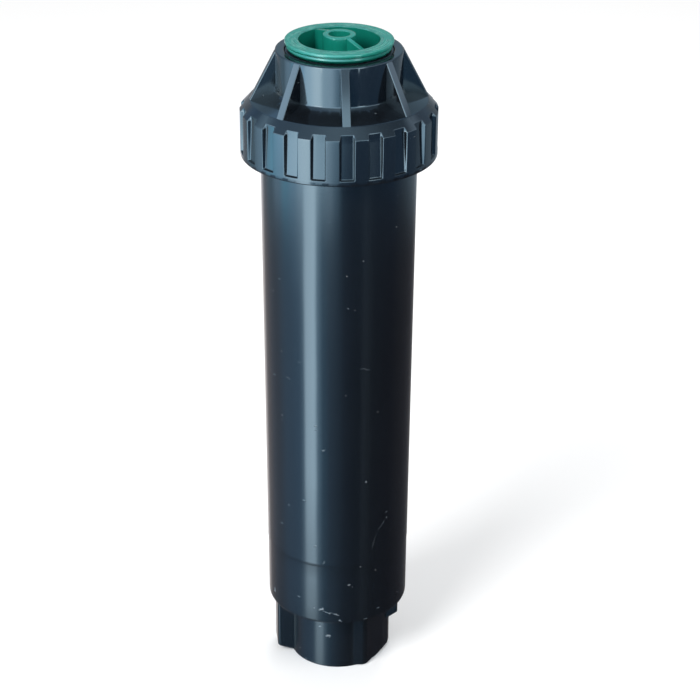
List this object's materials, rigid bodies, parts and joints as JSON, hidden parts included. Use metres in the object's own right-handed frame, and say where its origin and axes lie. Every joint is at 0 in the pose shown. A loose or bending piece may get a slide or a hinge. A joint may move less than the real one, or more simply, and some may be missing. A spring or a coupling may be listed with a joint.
{
  "type": "pop up sprinkler",
  "caption": "Buried spray sprinkler body with a screw-on ribbed cap, a spring-returned riser and a green flush plug.",
  "frame": {"origin": "centre of the inlet's end face, which is also the bottom of the part and what it stands on", "axes": "+Z along the riser, out of the cap; -Y towards the viewer in the standing pose"},
  "size_m": [0.057, 0.057, 0.2053],
  "materials": {
    "case_plastic": "glossy black moulded plastic, slightly scuffed",
    "green_plastic": "satin green moulded plastic",
    "grey_plastic": "satin grey moulded plastic",
    "natural_plastic": "satin off-white acetal",
    "seal_rubber": "matt black rubber",
    "spring_steel": "drawn stainless steel wire",
    "mesh_steel": "fine woven stainless steel mesh"
  },
  "bodies": {
    "case": {"housing": "case_plastic"},
    "seal_stack": {"body_gasket": "seal_rubber", "wiper_seal": "seal_rubber", "seal_retainer": "natural_plastic", "retraction_spring": "spring_steel"},
    "screw_cap": {"cap": "case_plastic"},
    "ratchet": {"ratchet_ring": "natural_plastic", "spring_washer": "natural_plastic"},
    "riser": {"riser_tube": "case_plastic", "riser_base": "grey_plastic", "base_o_ring": "seal_rubber", "check_seal": "seal_rubber", "check_button": "grey_plastic"},
    "filter": {"filter_basket": "natural_plastic", "filter_mesh": "mesh_steel", "plug_washer": "seal_rubber"},
    "plug": {"flush_plug": "green_plastic"}
  },
  "joints": [
    {"name": "cap_lift", "type": "slide", "parent": "case", "child": "seal_stack", "axis": [0, 0, 1], "range_m": [0, 0.00701]},
    {"name": "cap_turn", "type": "hinge", "parent": "seal_stack", "child": "screw_cap", "pos_m": [0, 0, 0.18], "axis": [0, 0, 1], "range_deg": [0, 630]},
    {"name": "riser_lift", "type": "slide", "parent": "seal_stack", "child": "ratchet", "axis": [0, 0, 1], "range_m": [0, 0.12], "stiffness_N_per_m": 200, "springref_m": -0.06, "deforming": ["retraction_spring"]},
    {"name": "riser_turn", "type": "hinge", "parent": "ratchet", "child": "riser", "pos_m": [0, 0, 0.1], "axis": [0, 0, 1], "continuous": true},
    {"name": "plug_lift", "type": "slide", "parent": "riser", "child": "filter", "axis": [0, 0, 1], "range_m": [0, 0.00563]},
    {"name": "plug_turn", "type": "hinge", "parent": "filter", "child": "plug", "pos_m": [0, 0, 0.19], "axis": [0, 0, 1], "range_deg": [0, 810]}
  ],
  "couplings": [
    {"joint": "cap_lift", "follows": "cap_turn", "m_per_rad": 0.00063662},
    {"joint": "plug_lift", "follows": "plug_turn", "m_per_rad": 0.00039789}
  ]
}
